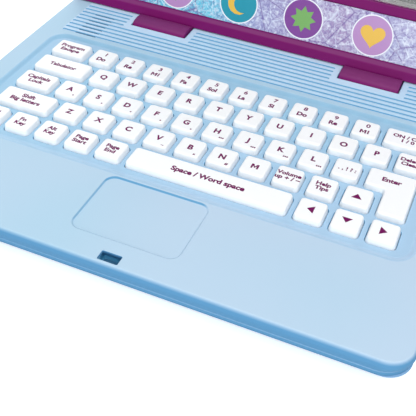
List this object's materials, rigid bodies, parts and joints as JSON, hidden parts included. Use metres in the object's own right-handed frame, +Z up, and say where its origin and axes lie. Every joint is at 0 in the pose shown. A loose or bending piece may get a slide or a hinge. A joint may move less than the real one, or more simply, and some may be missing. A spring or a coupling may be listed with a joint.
{
  "type": "toy laptop computer",
  "caption": "Child's learning laptop with a full keyboard of sprung keys, a touchpad outline, a folding lid with a flat display, and a battery bay underneath.",
  "frame": {"origin": "middle of the plan of the whole object, lid open, on the surface that it stands on", "axes": "+X to the right of the person at the keys, +Y from the keys towards the lid, +Z up"},
  "size_m": [0.268, 0.2572, 0.2023],
  "materials": {
    "base_plastic": "light blue, fine satin",
    "key_plastic": "white, soft gloss",
    "lid_plastic": "purple, soft gloss",
    "print": "printed sheet",
    "window": "clear, smooth",
    "display": "grey-green",
    "foot_rubber": "dull",
    "membrane": "translucent grey",
    "board": "green solder mask",
    "speaker": "black",
    "cell": "wrapped",
    "steel": "zinc plated"
  },
  "bodies": {
    "base": {"base_top_shell": "base_plastic", "base_bottom_shell": "base_plastic", "battery_door": "base_plastic", "battery_cells": "cell", "battery_contacts": "steel", "case_screws": "steel", "rubber_feet": "foot_rubber", "key_membrane": "membrane", "key_board": "board", "main_board": "board", "speaker": "speaker", "hinge_pins": "steel"},
    "lid": {"lid_bezel": "lid_plastic", "lid_cover": "lid_plastic", "print_panel": "print", "screen_window": "window", "display_module": "display", "lid_screws": "steel"},
    "key_escape": {"key_escape": "key_plastic"},
    "key_1": {"key_1": "key_plastic"},
    "key_2": {"key_2": "key_plastic"},
    "key_3": {"key_3": "key_plastic"},
    "key_4": {"key_4": "key_plastic"},
    "key_5": {"key_5": "key_plastic"},
    "key_6": {"key_6": "key_plastic"},
    "key_7": {"key_7": "key_plastic"},
    "key_8": {"key_8": "key_plastic"},
    "key_9": {"key_9": "key_plastic"},
    "key_0": {"key_0": "key_plastic"},
    "key_on_off": {"key_on_off": "key_plastic"},
    "key_tab": {"key_tab": "key_plastic"},
    "key_q": {"key_q": "key_plastic"},
    "key_w": {"key_w": "key_plastic"},
    "key_e": {"key_e": "key_plastic"},
    "key_r": {"key_r": "key_plastic"},
    "key_t": {"key_t": "key_plastic"},
    "key_y": {"key_y": "key_plastic"},
    "key_u": {"key_u": "key_plastic"},
    "key_i": {"key_i": "key_plastic"},
    "key_o": {"key_o": "key_plastic"},
    "key_p": {"key_p": "key_plastic"},
    "key_delete": {"key_delete": "key_plastic"},
    "key_caps_lock": {"key_caps_lock": "key_plastic"},
    "keys_home_row": {"keys_home_row": "key_plastic"},
    "key_marks": {"key_marks": "key_plastic"},
    "key_enter": {"key_enter": "key_plastic"},
    "key_shift": {"key_shift": "key_plastic"},
    "keys_lower_row": {"keys_lower_row": "key_plastic"},
    "key_volume": {"key_volume": "key_plastic"},
    "key_help": {"key_help": "key_plastic"},
    "key_up": {"key_up": "key_plastic"},
    "key_control": {"key_control": "key_plastic"},
    "key_function": {"key_function": "key_plastic"},
    "key_alt": {"key_alt": "key_plastic"},
    "key_home": {"key_home": "key_plastic"},
    "key_end": {"key_end": "key_plastic"},
    "key_space": {"key_space": "key_plastic"},
    "key_left": {"key_left": "key_plastic"},
    "key_down": {"key_down": "key_plastic"},
    "key_right": {"key_right": "key_plastic"}
  },
  "joints": [
    {"name": "lid_hinge", "type": "hinge", "parent": "base", "child": "lid", "pos_m": [0, 0.06387, 0.0175], "axis": [1, 0, 0], "range_deg": [0, 105]},
    {"name": "press_escape", "type": "slide", "parent": "base", "child": "key_escape", "axis": [0, 0, 1], "range_m": [-0.002, 0], "stiffness_N_per_m": 250, "springref_m": 0.001, "deforming": ["key_membrane"]},
    {"name": "press_1", "type": "slide", "parent": "base", "child": "key_1", "axis": [0, 0, 1], "range_m": [-0.002, 0], "stiffness_N_per_m": 250, "springref_m": 0.001, "deforming": ["key_membrane"]},
    {"name": "press_2", "type": "slide", "parent": "base", "child": "key_2", "axis": [0, 0, 1], "range_m": [-0.002, 0], "stiffness_N_per_m": 250, "springref_m": 0.001, "deforming": ["key_membrane"]},
    {"name": "press_3", "type": "slide", "parent": "base", "child": "key_3", "axis": [0, 0, 1], "range_m": [-0.002, 0], "stiffness_N_per_m": 250, "springref_m": 0.001, "deforming": ["key_membrane"]},
    {"name": "press_4", "type": "slide", "parent": "base", "child": "key_4", "axis": [0, 0, 1], "range_m": [-0.002, 0], "stiffness_N_per_m": 250, "springref_m": 0.001, "deforming": ["key_membrane"]},
    {"name": "press_5", "type": "slide", "parent": "base", "child": "key_5", "axis": [0, 0, 1], "range_m": [-0.002, 0], "stiffness_N_per_m": 250, "springref_m": 0.001, "deforming": ["key_membrane"]},
    {"name": "press_6", "type": "slide", "parent": "base", "child": "key_6", "axis": [0, 0, 1], "range_m": [-0.002, 0], "stiffness_N_per_m": 250, "springref_m": 0.001, "deforming": ["key_membrane"]},
    {"name": "press_7", "type": "slide", "parent": "base", "child": "key_7", "axis": [0, 0, 1], "range_m": [-0.002, 0], "stiffness_N_per_m": 250, "springref_m": 0.001, "deforming": ["key_membrane"]},
    {"name": "press_8", "type": "slide", "parent": "base", "child": "key_8", "axis": [0, 0, 1], "range_m": [-0.002, 0], "stiffness_N_per_m": 250, "springref_m": 0.001, "deforming": ["key_membrane"]},
    {"name": "press_9", "type": "slide", "parent": "base", "child": "key_9", "axis": [0, 0, 1], "range_m": [-0.002, 0], "stiffness_N_per_m": 250, "springref_m": 0.001, "deforming": ["key_membrane"]},
    {"name": "press_0", "type": "slide", "parent": "base", "child": "key_0", "axis": [0, 0, 1], "range_m": [-0.002, 0], "stiffness_N_per_m": 250, "springref_m": 0.001, "deforming": ["key_membrane"]},
    {"name": "press_on_off", "type": "slide", "parent": "base", "child": "key_on_off", "axis": [0, 0, 1], "range_m": [-0.002, 0], "stiffness_N_per_m": 250, "springref_m": 0.001, "deforming": ["key_membrane"]},
    {"name": "press_tab", "type": "slide", "parent": "base", "child": "key_tab", "axis": [0, 0, 1], "range_m": [-0.002, 0], "stiffness_N_per_m": 250, "springref_m": 0.001, "deforming": ["key_membrane"]},
    {"name": "press_q", "type": "slide", "parent": "base", "child": "key_q", "axis": [0, 0, 1], "range_m": [-0.002, 0], "stiffness_N_per_m": 250, "springref_m": 0.001, "deforming": ["key_membrane"]},
    {"name": "press_w", "type": "slide", "parent": "base", "child": "key_w", "axis": [0, 0, 1], "range_m": [-0.002, 0], "stiffness_N_per_m": 250, "springref_m": 0.001, "deforming": ["key_membrane"]},
    {"name": "press_e", "type": "slide", "parent": "base", "child": "key_e", "axis": [0, 0, 1], "range_m": [-0.002, 0], "stiffness_N_per_m": 250, "springref_m": 0.001, "deforming": ["key_membrane"]},
    {"name": "press_r", "type": "slide", "parent": "base", "child": "key_r", "axis": [0, 0, 1], "range_m": [-0.002, 0], "stiffness_N_per_m": 250, "springref_m": 0.001, "deforming": ["key_membrane"]},
    {"name": "press_t", "type": "slide", "parent": "base", "child": "key_t", "axis": [0, 0, 1], "range_m": [-0.002, 0], "stiffness_N_per_m": 250, "springref_m": 0.001, "deforming": ["key_membrane"]},
    {"name": "press_y", "type": "slide", "parent": "base", "child": "key_y", "axis": [0, 0, 1], "range_m": [-0.002, 0], "stiffness_N_per_m": 250, "springref_m": 0.001, "deforming": ["key_membrane"]},
    {"name": "press_u", "type": "slide", "parent": "base", "child": "key_u", "axis": [0, 0, 1], "range_m": [-0.002, 0], "stiffness_N_per_m": 250, "springref_m": 0.001, "deforming": ["key_membrane"]},
    {"name": "press_i", "type": "slide", "parent": "base", "child": "key_i", "axis": [0, 0, 1], "range_m": [-0.002, 0], "stiffness_N_per_m": 250, "springref_m": 0.001, "deforming": ["key_membrane"]},
    {"name": "press_o", "type": "slide", "parent": "base", "child": "key_o", "axis": [0, 0, 1], "range_m": [-0.002, 0], "stiffness_N_per_m": 250, "springref_m": 0.001, "deforming": ["key_membrane"]},
    {"name": "press_p", "type": "slide", "parent": "base", "child": "key_p", "axis": [0, 0, 1], "range_m": [-0.002, 0], "stiffness_N_per_m": 250, "springref_m": 0.001, "deforming": ["key_membrane"]},
    {"name": "press_delete", "type": "slide", "parent": "base", "child": "key_delete", "axis": [0, 0, 1], "range_m": [-0.002, 0], "stiffness_N_per_m": 250, "springref_m": 0.001, "deforming": ["key_membrane"]},
    {"name": "press_caps_lock", "type": "slide", "parent": "base", "child": "key_caps_lock", "axis": [0, 0, 1], "range_m": [-0.002, 0], "stiffness_N_per_m": 250, "springref_m": 0.001, "deforming": ["key_membrane"]},
    {"name": "press_home_row", "type": "slide", "parent": "base", "child": "keys_home_row", "axis": [0, 0, 1], "range_m": [-0.002, 0], "stiffness_N_per_m": 250, "springref_m": 0.001, "deforming": ["key_membrane"]},
    {"name": "press_marks", "type": "slide", "parent": "base", "child": "key_marks", "axis": [0, 0, 1], "range_m": [-0.002, 0], "stiffness_N_per_m": 250, "springref_m": 0.001, "deforming": ["key_membrane"]},
    {"name": "press_enter", "type": "slide", "parent": "base", "child": "key_enter", "axis": [0, 0, 1], "range_m": [-0.002, 0], "stiffness_N_per_m": 250, "springref_m": 0.001, "deforming": ["key_membrane"]},
    {"name": "press_shift", "type": "slide", "parent": "base", "child": "key_shift", "axis": [0, 0, 1], "range_m": [-0.002, 0], "stiffness_N_per_m": 250, "springref_m": 0.001, "deforming": ["key_membrane"]},
    {"name": "press_lower_row", "type": "slide", "parent": "base", "child": "keys_lower_row", "axis": [0, 0, 1], "range_m": [-0.002, 0], "stiffness_N_per_m": 250, "springref_m": 0.001, "deforming": ["key_membrane"]},
    {"name": "press_volume", "type": "slide", "parent": "base", "child": "key_volume", "axis": [0, 0, 1], "range_m": [-0.002, 0], "stiffness_N_per_m": 250, "springref_m": 0.001, "deforming": ["key_membrane"]},
    {"name": "press_help", "type": "slide", "parent": "base", "child": "key_help", "axis": [0, 0, 1], "range_m": [-0.002, 0], "stiffness_N_per_m": 250, "springref_m": 0.001, "deforming": ["key_membrane"]},
    {"name": "press_up", "type": "slide", "parent": "base", "child": "key_up", "axis": [0, 0, 1], "range_m": [-0.002, 0], "stiffness_N_per_m": 250, "springref_m": 0.001, "deforming": ["key_membrane"]},
    {"name": "press_control", "type": "slide", "parent": "base", "child": "key_control", "axis": [0, 0, 1], "range_m": [-0.002, 0], "stiffness_N_per_m": 250, "springref_m": 0.001, "deforming": ["key_membrane"]},
    {"name": "press_function", "type": "slide", "parent": "base", "child": "key_function", "axis": [0, 0, 1], "range_m": [-0.002, 0], "stiffness_N_per_m": 250, "springref_m": 0.001, "deforming": ["key_membrane"]},
    {"name": "press_alt", "type": "slide", "parent": "base", "child": "key_alt", "axis": [0, 0, 1], "range_m": [-0.002, 0], "stiffness_N_per_m": 250, "springref_m": 0.001, "deforming": ["key_membrane"]},
    {"name": "press_home", "type": "slide", "parent": "base", "child": "key_home", "axis": [0, 0, 1], "range_m": [-0.002, 0], "stiffness_N_per_m": 250, "springref_m": 0.001, "deforming": ["key_membrane"]},
    {"name": "press_end", "type": "slide", "parent": "base", "child": "key_end", "axis": [0, 0, 1], "range_m": [-0.002, 0], "stiffness_N_per_m": 250, "springref_m": 0.001, "deforming": ["key_membrane"]},
    {"name": "press_space", "type": "slide", "parent": "base", "child": "key_space", "axis": [0, 0, 1], "range_m": [-0.002, 0], "stiffness_N_per_m": 250, "springref_m": 0.001, "deforming": ["key_membrane"]},
    {"name": "press_left", "type": "slide", "parent": "base", "child": "key_left", "axis": [0, 0, 1], "range_m": [-0.002, 0], "stiffness_N_per_m": 250, "springref_m": 0.001, "deforming": ["key_membrane"]},
    {"name": "press_down", "type": "slide", "parent": "base", "child": "key_down", "axis": [0, 0, 1], "range_m": [-0.002, 0], "stiffness_N_per_m": 250, "springref_m": 0.001, "deforming": ["key_membrane"]},
    {"name": "press_right", "type": "slide", "parent": "base", "child": "key_right", "axis": [0, 0, 1], "range_m": [-0.002, 0], "stiffness_N_per_m": 250, "springref_m": 0.001, "deforming": ["key_membrane"]}
  ]
}
